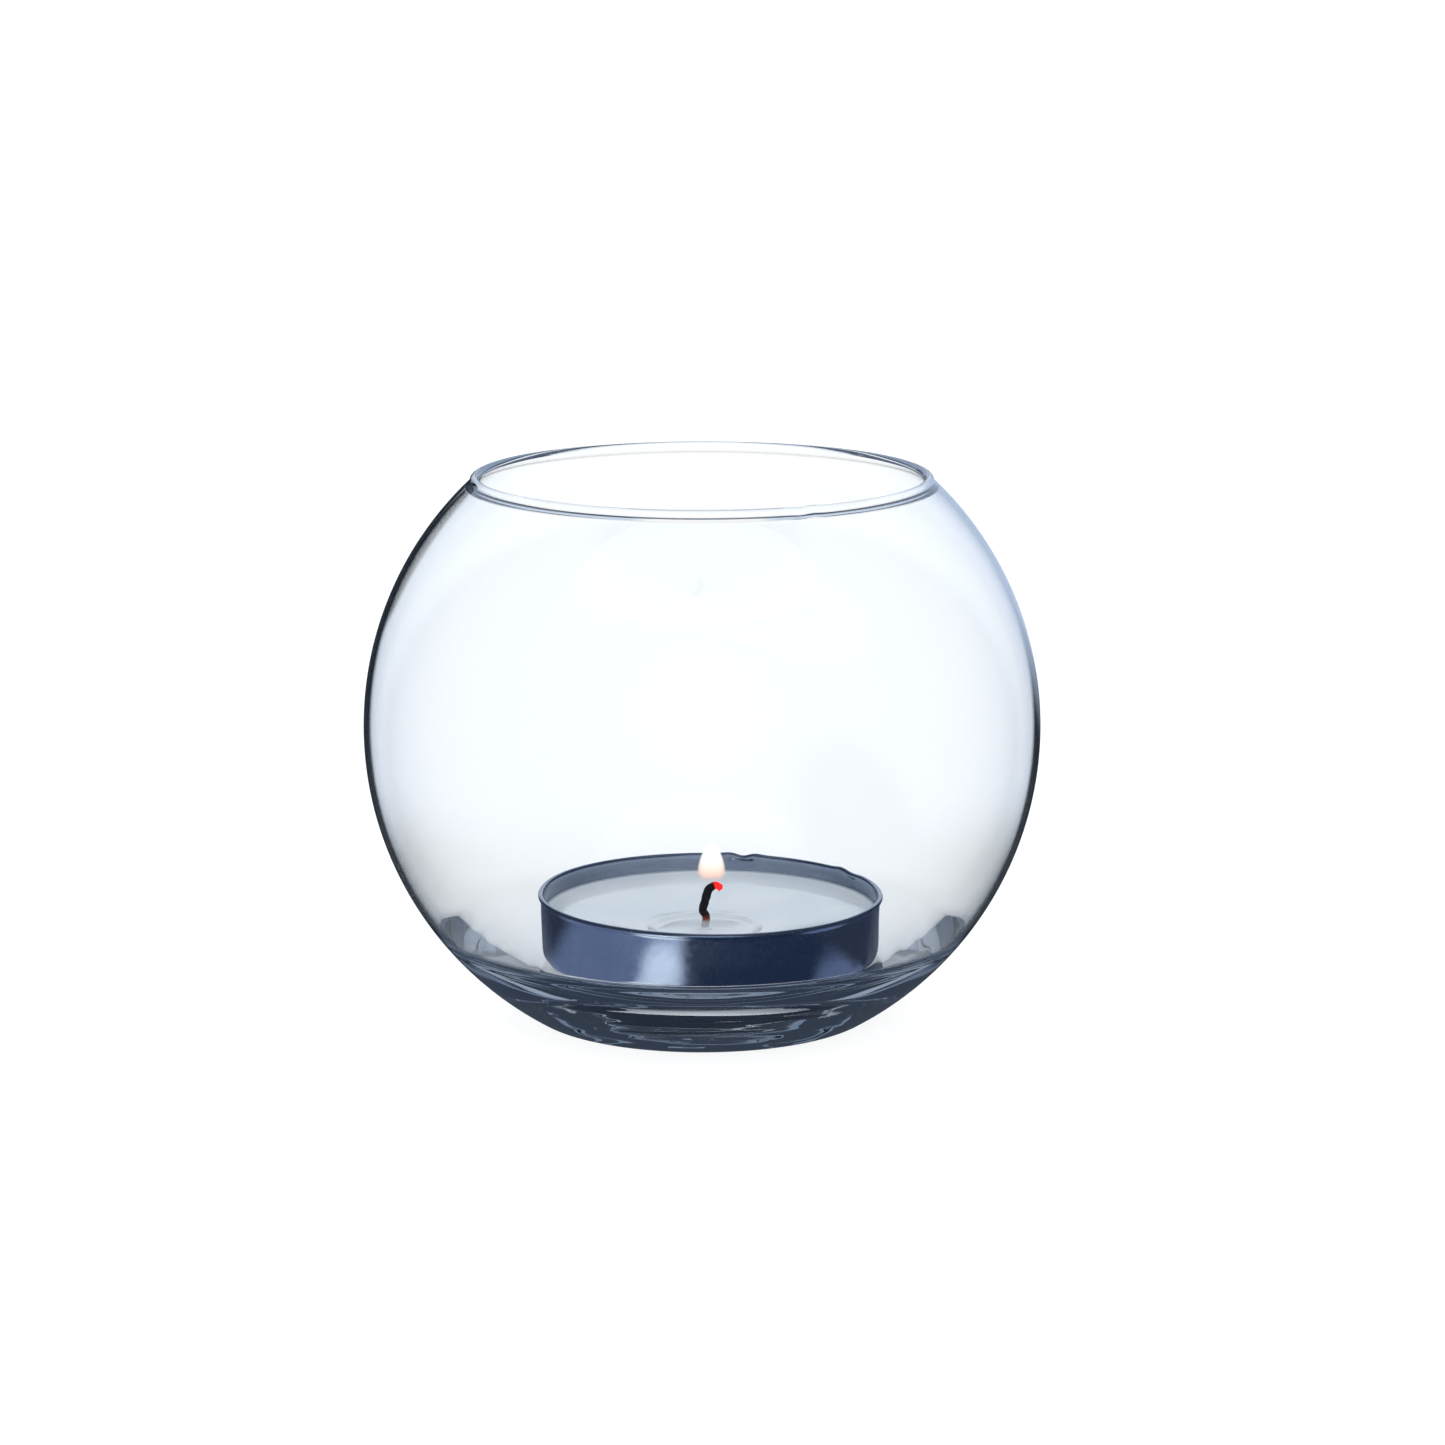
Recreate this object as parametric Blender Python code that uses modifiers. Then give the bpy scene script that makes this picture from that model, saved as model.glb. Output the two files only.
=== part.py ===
"""Tealight holder: a clear glass fishbowl with a tealight standing on its floor.

Five separate pieces are modelled. The bowl is one piece of glass. The tealight in it is a drawn
aluminium cup, a puck of wax, a cotton wick and the steel tab that holds the wick upright.

Units are metres and +Z is up. The origin is the middle of the face that the bowl stands on.
"""

import math

import bpy

# Gap between pieces that touch on the real object.
CLEARANCE = 0.0003

# Glass bowl.
BOWL_RADIUS = 0.0380  # outside of the round belly
WALL = 0.0011  # glass thickness of the belly
FOOT_RADIUS = 0.0180  # flat face that the bowl stands on
HEEL_RADIUS = 0.0030  # round between the foot and the belly
MOUTH_RADIUS = 0.0247  # clear opening inside the lip
LIP_SWELL = 0.0002  # how far the fire-polished bead stands proud of the wall
FLOOR_THICKNESS = 0.0032  # glass under the middle of the inner floor
DISH_RADIUS = 0.0680  # hollow of the inner floor
FLOOR_FILLET = 0.0050  # round between the inner floor and the wall

# Tealight cup, which stands a little off the middle of the bowl.
CUP_OFFSET_X = 0.0009
CUP_OFFSET_Y = -0.0007
CUP_RIM_RADIUS = 0.0195  # outside of the hem
CUP_HEIGHT = 0.0078
CUP_DRAFT = 0.0004  # how much the wall narrows from the hem to the corner
CUP_CORNER = 0.0016  # outside round between wall and bottom
CUP_SHEET = 0.00025  # thickness of the drawn sheet
HEM_HEIGHT = 0.0006  # rolled edge of the cup
HEM_DEPTH = 0.0003  # how far the hem stands out from the wall
PANEL_RADIUS = 0.0110  # middle of the bottom, stamped up so that the cup stands on a ring
PANEL_RISE = 0.0003
PANEL_SLOPE = 0.0006  # width of the slope round the panel

# Wax puck.
WAX_BELOW_RIM = 0.0021  # wax line on the cup's wall, below the rim
WAX_SAG = 0.0019  # how much lower the surface is where the melt pool starts
POOL_RADIUS = 0.0063  # round hollow that the flame melted about the wick
POOL_DEPTH = 0.00035

# Wick and the tab that holds it, which stand a little off the middle of the cup.
WICK_OFFSET_X = -0.0006
WICK_RADIUS = 0.0005
WICK_TIP_SHARE = 0.8  # burnt tip, as a share of the wick's radius
TAB_RADIUS = 0.0065
TAB_SHEET = 0.0003
NECK_HEIGHT = 0.0020  # tube of the tab, measured from its underside
NECK_WALL = 0.0003
NECK_FILLET = 0.0004  # round between the disc and the neck
NECK_CRIMP = 0.0001  # depth of the groove pressed round the neck to grip the wick
CRIMP_WIDTH = 0.0006
# The burnt end of the wick, as (sideways, up) from where it leaves the wax: a kink, then a hook.
WICK_ROUTE = (
    (0.0001, 0.0016),
    (-0.00024, 0.0023),
    (0.0, 0.0033),
    (0.00036, 0.0046),
    (0.0012, 0.0052),
    (0.0019, 0.0049),
)

# Facets of the turned pieces.
BOWL_STEPS = 64
CUP_STEPS = 48
WAX_STEPS = 48
TAB_STEPS = 24
BELLY_SEGMENTS = 16
ROUND_SEGMENTS = 4
LIP_SEGMENTS = 8
MERGE_DISTANCE = 0.00002

COLLECTION_NAME = "tealight_holder"
CUTTER_COLLECTION_NAME = "tealight_holder_cutters"


def clear_scene():
    """Remove every object that the scene holds."""
    for item in list(bpy.data.objects):
        bpy.data.objects.remove(item, do_unlink=True)


def make_collection(name):
    """Return a new collection that is linked to the scene."""
    collection = bpy.data.collections.new(name)
    bpy.context.scene.collection.children.link(collection)
    return collection


def make_finish(name, color, roughness, metallic=0.0, transmission=0.0):
    """Return a material with one Principled BSDF; color is linear RGB."""
    material = bpy.data.materials.new(name)
    material.use_nodes = True
    shader = material.node_tree.nodes["Principled BSDF"]
    shader.inputs["Base Color"].default_value = (*color, 1.0)
    shader.inputs["Roughness"].default_value = roughness
    shader.inputs["Metallic"].default_value = metallic
    shader.inputs["Transmission Weight"].default_value = transmission
    return material


def arc(center, radius, start, end, segments):
    """Return points (r, z) on an arc from angle start to angle end, both ends included."""
    turn = (end - start) / segments
    angles = [start + turn * step for step in range(segments + 1)]
    return [(center[0] + radius * math.cos(a), center[1] + radius * math.sin(a)) for a in angles]


def turned(collection, name, profile, steps, closed=False):
    """Return an object turned about its own Z axis.

    The profile is a list of (r, z) that runs down its outer side. An open profile starts and ends
    on the axis, and a closed one goes round a ring.
    """
    points = [(r, 0.0, z) for r, z in profile]
    edges = [(i, i + 1) for i in range(len(points) - 1)]
    if closed:
        edges.append((len(points) - 1, 0))
    mesh = bpy.data.meshes.new(name)
    mesh.from_pydata(points, edges, [])
    piece = bpy.data.objects.new(name, mesh)
    collection.objects.link(piece)
    screw = piece.modifiers.new("turn", "SCREW")
    screw.axis = "Z"
    screw.angle = math.tau
    screw.steps = steps
    screw.render_steps = steps
    screw.use_merge_vertices = True
    screw.merge_threshold = MERGE_DISTANCE
    screw.use_smooth_shade = True
    return piece


def make_empty(collection, name, location, parent=None):
    """Return an empty that carries the pieces of one lift-out body."""
    empty = bpy.data.objects.new(name, None)
    empty.location = location
    empty.parent = parent
    collection.objects.link(empty)
    return empty


def cut_from(wax, cutter):
    """Cut a turned shape out of the wax, about the axis of the wick."""
    cutter.parent = wax
    cutter.location = (WICK_OFFSET_X, 0.0, 0.0)
    cutter.hide_render = True
    cutter.display_type = "WIRE"
    cut = wax.modifiers.new(cutter.name, "BOOLEAN")
    cut.operation = "DIFFERENCE"
    cut.solver = "EXACT"
    cut.object = cutter


def belly_height():
    """Return the height of the belly's centre, from the foot's flat and its heel round."""
    reach = BOWL_RADIUS - HEEL_RADIUS
    return HEEL_RADIUS + math.sqrt(reach**2 - FOOT_RADIUS**2)


def cup_seat_height():
    """Return how high the cup stands: its corner round bears on the dished floor.

    The cup is off centre, so the side that is furthest out touches the hollow first.
    """
    offset = math.hypot(CUP_OFFSET_X, CUP_OFFSET_Y)
    corner_out = cup_wall_radius() - CUP_DRAFT - CUP_CORNER + offset
    reach = DISH_RADIUS - CUP_CORNER - CLEARANCE
    return FLOOR_THICKNESS + DISH_RADIUS - math.sqrt(reach**2 - corner_out**2) - CUP_CORNER


def cup_wall_radius():
    """Return the outside radius of the cup's wall under the hem."""
    return CUP_RIM_RADIUS - HEM_DEPTH


def cup_wall_at(height):
    """Return the outside radius of the drafted cup wall at a height above the cup's bottom."""
    top = CUP_HEIGHT - HEM_HEIGHT
    share = (height - CUP_CORNER) / (top - CUP_CORNER)
    return cup_wall_radius() - CUP_DRAFT * (1.0 - share)


def bowl_profile():
    """Return the glass outline: inner floor, wall, lip bead, belly, heel and foot.

    Every stretch is an arc that meets the next at a tangent, apart from the lip, whose bead is
    laid over the edge of the wall and stands proud of it on both sides.
    """
    center_z = belly_height()
    inner_radius = BOWL_RADIUS - WALL
    middle_radius = BOWL_RADIUS - WALL / 2

    # The fillet touches the hollow floor and the inner wall, both from inside.
    dish_z = FLOOR_THICKNESS + DISH_RADIUS
    wall_reach = inner_radius - FLOOR_FILLET
    dish_reach = DISH_RADIUS - FLOOR_FILLET
    fillet_z = (wall_reach**2 - dish_reach**2 - center_z**2 + dish_z**2) / (2 * (dish_z - center_z))
    fillet_r = math.sqrt(wall_reach**2 - (fillet_z - center_z) ** 2)
    floor_end = math.atan2(fillet_z - dish_z, fillet_r)
    wall_start = math.atan2(fillet_z - center_z, fillet_r)

    # The bead is a ring on the middle of the wall, cut where the wall's two faces run into it.
    bead = WALL / 2 + LIP_SWELL
    bead_r = MOUTH_RADIUS + bead
    bead_z = center_z + math.sqrt(middle_radius**2 - bead_r**2)
    wall_angle = math.atan2(bead_z - center_z, bead_r)
    inner_cut = math.acos((bead**2 + middle_radius**2 - inner_radius**2) / (2 * bead * middle_radius))
    outer_cut = math.acos((bead**2 + middle_radius**2 - BOWL_RADIUS**2) / (2 * bead * middle_radius))
    inward = wall_angle + math.pi
    lip_end = wall_angle - (math.pi - outer_cut)
    lip = arc((bead_r, bead_z), bead, inward + inner_cut, lip_end, LIP_SEGMENTS)
    inner_end = math.atan2(lip[0][1] - center_z, lip[0][0])
    outer_start = math.atan2(lip[-1][1] - center_z, lip[-1][0])

    # The heel touches the belly from inside and the foot's flat.
    heel_start = math.atan2(HEEL_RADIUS - center_z, FOOT_RADIUS)
    down = -math.pi / 2
    floor = arc((0.0, dish_z), DISH_RADIUS, down, floor_end, ROUND_SEGMENTS)
    fillet = arc((fillet_r, fillet_z), FLOOR_FILLET, floor_end, wall_start, ROUND_SEGMENTS)
    wall = arc((0.0, center_z), inner_radius, wall_start, inner_end, BELLY_SEGMENTS)
    belly = arc((0.0, center_z), BOWL_RADIUS, outer_start, heel_start, BELLY_SEGMENTS)
    heel = arc((FOOT_RADIUS, HEEL_RADIUS), HEEL_RADIUS, heel_start, down, ROUND_SEGMENTS)
    return floor + fillet[1:] + wall[1:] + lip[1:] + belly[1:] + heel[1:] + [(0.0, 0.0)]


def cup_profile():
    """Return the drawn sheet's outline, from the middle of its inside to the middle of its bottom."""
    top = CUP_HEIGHT - HEM_HEIGHT
    wall_top = cup_wall_radius()
    wall_foot = wall_top - CUP_DRAFT
    corner = (wall_foot - CUP_CORNER, CUP_CORNER)
    edge = CUP_SHEET / 2
    down = -math.pi / 2
    inside = [(0.0, PANEL_RISE + CUP_SHEET), (PANEL_RADIUS, PANEL_RISE + CUP_SHEET)]
    inside.append((PANEL_RADIUS + PANEL_SLOPE, CUP_SHEET))
    inside += arc(corner, CUP_CORNER - CUP_SHEET, down, 0.0, ROUND_SEGMENTS)
    inside.append((wall_top - CUP_SHEET, CUP_HEIGHT - edge))
    hem = [(wall_top - edge, CUP_HEIGHT), (CUP_RIM_RADIUS - edge, CUP_HEIGHT)]
    hem += [(CUP_RIM_RADIUS, CUP_HEIGHT - edge), (CUP_RIM_RADIUS, top + edge)]
    hem += [(CUP_RIM_RADIUS - edge, top), (wall_top, top)]
    outside = arc(corner, CUP_CORNER, 0.0, down, ROUND_SEGMENTS)
    outside.append((PANEL_RADIUS + PANEL_SLOPE, 0.0))
    outside += [(PANEL_RADIUS, PANEL_RISE), (0.0, PANEL_RISE)]
    return inside + hem + outside


def candle_bottom():
    """Return the height of the underside of wax and tab, above the cup's bottom."""
    return PANEL_RISE + CUP_SHEET + CLEARANCE


def wax_line():
    """Return the height of the wax at the cup's wall, above the cup's bottom."""
    return CUP_HEIGHT - WAX_BELOW_RIM


def pool_floor():
    """Return the height of the melt pool's floor, where the wick leaves the wax."""
    return wax_line() - WAX_SAG - POOL_DEPTH


def wax_profile():
    """Return the puck's outline before its melt pool and its hole for tab and wick are cut."""
    skin = CUP_SHEET + CLEARANCE
    round_radius = CUP_CORNER - skin
    corner = (cup_wall_radius() - CUP_DRAFT - CUP_CORNER, candle_bottom() + round_radius)
    down = -math.pi / 2
    surface = [(0.0, wax_line() - WAX_SAG), (POOL_RADIUS, wax_line() - WAX_SAG)]
    surface.append((cup_wall_at(wax_line()) - skin, wax_line()))
    side = arc(corner, round_radius, 0.0, down, ROUND_SEGMENTS)
    return surface + side + [(0.0, candle_bottom())]


def pool_profile():
    """Return the outline of the melt pool that is cut from the wax, up to above the cup."""
    rim = [(0.0, CUP_HEIGHT), (POOL_RADIUS, CUP_HEIGHT)]
    return rim + [(POOL_RADIUS - POOL_DEPTH, pool_floor()), (0.0, pool_floor())]


def core_profile():
    """Return the outline of the hole in the wax for wick, neck and tab, open at both ends."""
    tab_top = candle_bottom() + TAB_SHEET + CLEARANCE
    neck_top = candle_bottom() + NECK_HEIGHT + CLEARANCE
    wick_hole = WICK_RADIUS + CLEARANCE
    neck_hole = wick_hole + NECK_WALL + NECK_FILLET + CLEARANCE
    tab_hole = TAB_RADIUS + CLEARANCE
    hole = [(0.0, CUP_HEIGHT), (wick_hole, CUP_HEIGHT), (wick_hole, neck_top), (neck_hole, neck_top)]
    return hole + [(neck_hole, tab_top), (tab_hole, tab_top), (tab_hole, 0.0), (0.0, 0.0)]


def tab_profile():
    """Return the outline of the wick tab: a disc with a neck that the wick stands in."""
    bore = WICK_RADIUS + CLEARANCE
    neck = bore + NECK_WALL
    fillet = (neck + NECK_FILLET, TAB_SHEET + NECK_FILLET)
    edge = TAB_SHEET / 2
    crimp_z = (NECK_HEIGHT + fillet[1]) / 2
    crimp = [(neck, crimp_z + CRIMP_WIDTH / 2), (neck - NECK_CRIMP, crimp_z)]
    crimp.append((neck, crimp_z - CRIMP_WIDTH / 2))
    rise = arc(fillet, NECK_FILLET, math.pi, 1.5 * math.pi, ROUND_SEGMENTS)
    disc = [(TAB_RADIUS - edge, TAB_SHEET), (TAB_RADIUS, edge), (TAB_RADIUS - edge, 0.0)]
    return [(bore, NECK_HEIGHT), (neck, NECK_HEIGHT)] + crimp + rise + disc + [(bore, 0.0)]


def make_wick(collection, name):
    """Return the wick: straight through its tab and the wax, then the burnt hook above."""
    start = candle_bottom() + CLEARANCE
    leave = pool_floor()
    stem = [(0.0, start), (0.0, (start + leave) / 2), (0.0, leave)]
    route = stem + [(side, leave + up) for side, up in WICK_ROUTE]
    curve = bpy.data.curves.new(name, "CURVE")
    curve.dimensions = "3D"
    curve.resolution_u = 3
    curve.bevel_depth = WICK_RADIUS
    curve.bevel_resolution = 2
    curve.use_fill_caps = True
    spline = curve.splines.new("BEZIER")
    spline.bezier_points.add(len(route) - 1)
    for point, (side, up) in zip(spline.bezier_points, route):
        point.co = (side, 0.0, up)
        point.handle_left_type = "AUTO"
        point.handle_right_type = "AUTO"
    spline.bezier_points[-1].radius = WICK_TIP_SHARE
    wick = bpy.data.objects.new(name, curve)
    collection.objects.link(wick)
    return wick


def build():
    """Model the bowl and the tealight, and place the tealight on the bowl's floor."""
    clear_scene()
    parts = make_collection(COLLECTION_NAME)
    cutters = make_collection(CUTTER_COLLECTION_NAME)

    bowl = turned(parts, "glass_bowl", bowl_profile(), BOWL_STEPS)
    bowl.data.materials.append(make_finish("clear_glass", (0.93, 0.96, 1.0), 0.0, transmission=1.0))

    seat = (CUP_OFFSET_X, CUP_OFFSET_Y, cup_seat_height())
    tealight = make_empty(parts, "tealight_lift", seat)
    candle = make_empty(parts, "candle_lift", (0.0, 0.0, 0.0), tealight)

    cup = turned(parts, "tealight_cup", cup_profile(), CUP_STEPS)
    cup.parent = tealight
    cup.data.materials.append(make_finish("satin_aluminium", (0.32, 0.36, 0.47), 0.3, metallic=1.0))

    wax = turned(parts, "wax_puck", wax_profile(), WAX_STEPS)
    wax.parent = candle
    wax.data.materials.append(make_finish("paraffin_wax", (0.72, 0.78, 0.86), 0.25))

    cut_from(wax, turned(cutters, "melt_pool", pool_profile(), WAX_STEPS))
    cut_from(wax, turned(cutters, "candle_core", core_profile(), TAB_STEPS))

    tab = turned(parts, "wick_tab", tab_profile(), TAB_STEPS, closed=True)
    tab.parent = candle
    tab.location = (WICK_OFFSET_X, 0.0, candle_bottom())
    tab.data.materials.append(make_finish("tinned_steel", (0.55, 0.56, 0.58), 0.35, metallic=1.0))

    wick = make_wick(parts, "wick")
    wick.parent = candle
    wick.location = (WICK_OFFSET_X, 0.0, 0.0)
    wick.data.materials.append(make_finish("charred_cotton", (0.012, 0.011, 0.011), 0.9))


if __name__ == "__main__":
    build()
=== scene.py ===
"""Looks of the tealight holder: a clear glass fishbowl with a burning tealight on its floor.

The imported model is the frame. Each piece below stands for one of its nodes, rides on that node's
body and takes its place and main sizes from it, so nothing here moves or resizes the part.
Lengths are metres, +Z is up and azimuths are degrees, 0 towards the viewer and 90 to the right.
"""

import logging
import math
from collections.abc import Callable, Sequence
from dataclasses import dataclass
from enum import Enum

import bmesh
import bpy
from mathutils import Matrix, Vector, noise


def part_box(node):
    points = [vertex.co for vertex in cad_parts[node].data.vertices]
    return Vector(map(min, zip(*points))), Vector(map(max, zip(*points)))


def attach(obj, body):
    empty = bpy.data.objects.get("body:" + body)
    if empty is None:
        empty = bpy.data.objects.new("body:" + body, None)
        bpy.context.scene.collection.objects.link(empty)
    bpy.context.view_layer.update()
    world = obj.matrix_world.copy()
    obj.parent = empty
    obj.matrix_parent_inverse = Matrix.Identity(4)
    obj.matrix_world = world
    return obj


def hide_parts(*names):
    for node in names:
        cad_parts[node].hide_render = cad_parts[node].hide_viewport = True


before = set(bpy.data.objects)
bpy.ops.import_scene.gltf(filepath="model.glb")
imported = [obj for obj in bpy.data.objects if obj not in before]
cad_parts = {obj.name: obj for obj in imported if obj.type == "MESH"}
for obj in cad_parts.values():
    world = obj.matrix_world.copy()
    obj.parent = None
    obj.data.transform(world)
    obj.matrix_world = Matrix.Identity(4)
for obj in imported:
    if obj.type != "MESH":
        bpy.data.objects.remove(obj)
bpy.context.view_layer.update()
LOG = logging.getLogger("tealight_holder")

Rgb = tuple[float, float, float]
DOWN = -math.pi / 2
ON_AXIS = 1e-7
ROUTE_SHARE = "route_share"
FLAME_ASIDE = 0.00074
FLAME_OVERLAP = 0.0002


class Body(Enum):
    """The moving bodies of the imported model."""

    BOWL = "bowl"
    TEALIGHT = "tealight"
    CANDLE = "candle"


class Slot(Enum):
    """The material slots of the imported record."""

    GLASS = "clear_glass"
    ALUMINIUM = "satin_aluminium"
    WAX = "paraffin_wax"
    COTTON = "charred_cotton"
    STEEL = "tinned_steel"


class Zone(Enum):
    """What the hand-made unevenness of a turned piece does at a point of its outline."""

    PLAIN = "plain"
    FLOOR = "floor"
    BASE = "base"
    LIP = "lip"
    CORNER = "corner"
    WALL = "wall"
    RIM = "rim"


@dataclass(frozen=True)
class Station:
    """One point of a turned outline.

    Attributes:
        radius: Distance from the turning axis.
        height: Height in the frame.
        zone: Which unevenness acts here.
    """

    radius: float
    height: float
    zone: Zone = Zone.PLAIN


Shift = Callable[[Station, float], tuple[float, float]]


def arc(
    center: tuple[float, float], radius: float, start: float, end: float, steps: int, zone: Zone = Zone.PLAIN
) -> list[Station]:
    """Lay stations along an arc, both ends included.

    Args:
        center: Radius and height of the arc's centre.
        radius: Radius of the arc.
        start: Angle of the first station, in radians.
        end: Angle of the last station, in radians.
        steps: Number of pieces that the arc is cut into.
        zone: Unevenness that acts along the arc.

    Returns:
        The stations from start to end.
    """
    angles = [start + (end - start) * step / steps for step in range(steps + 1)]
    return [
        Station(center[0] + radius * math.cos(a), center[1] + radius * math.sin(a), zone) for a in angles
    ]


def line(start: Station, end: Station, steps: int, zone: Zone = Zone.PLAIN) -> list[Station]:
    """Lay stations along a straight stretch, both ends included.

    Args:
        start: First station.
        end: Last station.
        steps: Number of pieces that the stretch is cut into.
        zone: Unevenness that acts along the stretch.

    Returns:
        The stations from start to end.
    """
    shares = [step / steps for step in range(steps + 1)]
    return [
        Station(
            start.radius + (end.radius - start.radius) * s,
            start.height + (end.height - start.height) * s,
            zone,
        )
        for s in shares
    ]


def smooth_step(low: float, high: float, value: float) -> float:
    """Rise smoothly from 0 to 1; low may also lie above high.

    Args:
        low: Value at which the rise starts.
        high: Value at which it ends.
        value: Value to place between them.

    Returns:
        The share of the rise.
    """
    share = min(max((value - low) / (high - low), 0.0), 1.0)
    return share * share * (3.0 - 2.0 * share)


def hump(value: float, middle: float, width: float) -> float:
    """Return a bell about a middle, for angles in degrees that wrap round.

    Args:
        value: Angle to look at.
        middle: Angle of the bell's top.
        width: Distance from the top at which the bell has faded to about a third.

    Returns:
        The height of the bell, 1 at its top.
    """
    away = (value - middle + 180.0) % 360.0 - 180.0
    return math.exp(-((away / width) ** 2))


def azimuth_of(angle: float) -> float:
    """Return the azimuth in degrees of a turning angle in radians counted from +X."""
    return math.degrees(angle) + 90.0


def link_piece(mesh: bmesh.types.BMesh, name: str) -> bpy.types.Object:
    """Turn a bmesh into a smooth shaded object of the scene.

    Args:
        mesh: The bmesh, which is freed.
        name: Name of the new object.

    Returns:
        The object, at the frame's origin.
    """
    bmesh.ops.recalc_face_normals(mesh, faces=mesh.faces)
    for face in mesh.faces:
        face.smooth = True
    data = bpy.data.meshes.new(name)
    mesh.to_mesh(data)
    mesh.free()
    piece = bpy.data.objects.new(name, data)
    bpy.context.scene.collection.objects.link(piece)
    return piece


def skin(mesh: bmesh.types.BMesh, rings: Sequence[Sequence[bmesh.types.BMVert]], closed: bool) -> None:
    """Join rings of points with faces and map them round and along.

    Args:
        mesh: The bmesh that holds the rings.
        rings: Rings of equal length; a ring of one point closes an end.
        closed: Whether the last ring joins the first.
    """
    chart = mesh.loops.layers.uv.verify()
    count = max(len(ring) for ring in rings)
    last = len(rings) if closed else len(rings) - 1
    for row in range(last):
        lower, upper = rings[row], rings[(row + 1) % len(rings)]
        for k in range(count):
            corners = []
            for ring, step, up in ((lower, k, 0), (lower, k + 1, 0), (upper, k + 1, 1), (upper, k, 1)):
                point = ring[step % len(ring)]
                if point not in [known for known, _ in corners]:
                    corners.append((point, (step / count, (row + up) / last)))
            if len(corners) < 3:
                continue
            face = mesh.faces.new([point for point, _ in corners])
            for loop, (_, place) in zip(face.loops, corners):
                loop[chart].uv = place


def turned(
    name: str,
    outline: Sequence[Station],
    axis: tuple[float, float],
    segments: int,
    shift: Shift | None = None,
    closed: bool = False,
) -> bpy.types.Object:
    """Turn an outline about an upright axis.

    Args:
        name: Name of the piece.
        outline: Stations from one end of the outline to the other.
        axis: X and Y of the turning axis.
        segments: Number of steps round the axis.
        shift: Unevenness, as a change of radius and height at a station and an azimuth.
        closed: Whether the outline is a loop that stays clear of the axis.

    Returns:
        The turned piece.
    """
    mesh = bmesh.new()
    rings = []
    for station in outline:
        if station.radius < ON_AXIS:
            rings.append([mesh.verts.new((axis[0], axis[1], station.height))])
            continue
        ring = []
        for k in range(segments):
            angle = math.tau * k / segments
            out, up = shift(station, azimuth_of(angle)) if shift else (0.0, 0.0)
            radius = station.radius + out
            place = (axis[0] + radius * math.cos(angle), axis[1] + radius * math.sin(angle))
            ring.append(mesh.verts.new((*place, station.height + up)))
        rings.append(ring)
    skin(mesh, rings, closed)
    return link_piece(mesh, name)


def mark_shares(piece: bpy.types.Object, values: Sequence[float]) -> None:
    """Give each point of a piece its share of the way from foot to tip.

    Args:
        piece: The piece.
        values: One share for each of its points.
    """
    layer = piece.data.attributes.new(ROUTE_SHARE, "FLOAT", "POINT")
    layer.data.foreach_set("value", values)


def middle_of(node: str) -> tuple[float, float]:
    """Return X and Y of the middle of a CAD node's box."""
    low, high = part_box(node)
    return (low.x + high.x) / 2, (low.y + high.y) / 2


def settle(piece: bpy.types.Object, body: Body, node: str | None) -> None:
    """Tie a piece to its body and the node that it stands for.

    Args:
        piece: The finished piece.
        body: Body that the piece rides on.
        node: CAD node that the piece stands for, if it stands for one.
    """
    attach(piece, body.value)
    if node:
        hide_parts(node)
    LOG.info("%s rides on %s with %d faces", piece.name, body.value, len(piece.data.polygons))


class NodeBoard:
    """A node tree with short calls that add and join its nodes."""

    def __init__(self, tree: bpy.types.NodeTree) -> None:
        """Keep the tree that the calls work on."""
        self.tree = tree

    def add(self, kind: str, inputs: dict | None = None, **options: object) -> bpy.types.Node:
        """Add a node.

        Args:
            kind: Type name of the node.
            inputs: Values or output sockets for its inputs, by name or number.
            options: Settings of the node itself.

        Returns:
            The new node.
        """
        node = self.tree.nodes.new(kind)
        for name, value in options.items():
            setattr(node, name, value)
        for key, value in (inputs or {}).items():
            if isinstance(value, bpy.types.NodeSocket):
                self.tree.links.new(value, node.inputs[key])
            else:
                node.inputs[key].default_value = value
        return node

    def calc(self, operation: str, first: object, second: object = 0.0) -> bpy.types.NodeSocket:
        """Add a Math node and return its output."""
        return self.add("ShaderNodeMath", {0: first, 1: second}, operation=operation).outputs[0]

    def blend(self, factor: object, first: object, second: object) -> bpy.types.NodeSocket:
        """Add a colour Mix node and return its output."""
        inputs = {0: factor, 6: first, 7: second}
        return self.add("ShaderNodeMix", inputs, data_type="RGBA").outputs[2]

    def spread(
        self, value: object, low: float, high: float, to_low: float, to_high: float
    ) -> bpy.types.NodeSocket:
        """Add a smooth Map Range node and return its output."""
        inputs = {0: value, 1: low, 2: high, 3: to_low, 4: to_high}
        return self.add("ShaderNodeMapRange", inputs, interpolation_type="SMOOTHSTEP").outputs[0]

    def ramp(self, value: object, stops: Sequence[tuple[float, Rgb]]) -> bpy.types.NodeSocket:
        """Add a colour ramp.

        Args:
            value: Value that the ramp reads.
            stops: Places and colours, at least two.

        Returns:
            The ramp's colour output.
        """
        node = self.add("ShaderNodeValToRGB", {0: value})
        elements = node.color_ramp.elements
        while len(elements) < len(stops):
            elements.new(1.0)
        for element, (place, color) in zip(elements, stops):
            element.position = place
            element.color = (*color, 1.0)
        return node.outputs[0]

    def use(self, group: bpy.types.NodeTree, inputs: dict) -> bpy.types.Node:
        """Place a node group and set its inputs."""
        return self.add("ShaderNodeGroup", inputs, node_tree=group)

    def join(self, source: bpy.types.NodeSocket, target: bpy.types.NodeSocket) -> None:
        """Link an output to an input."""
        self.tree.links.new(source, target)


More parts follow.
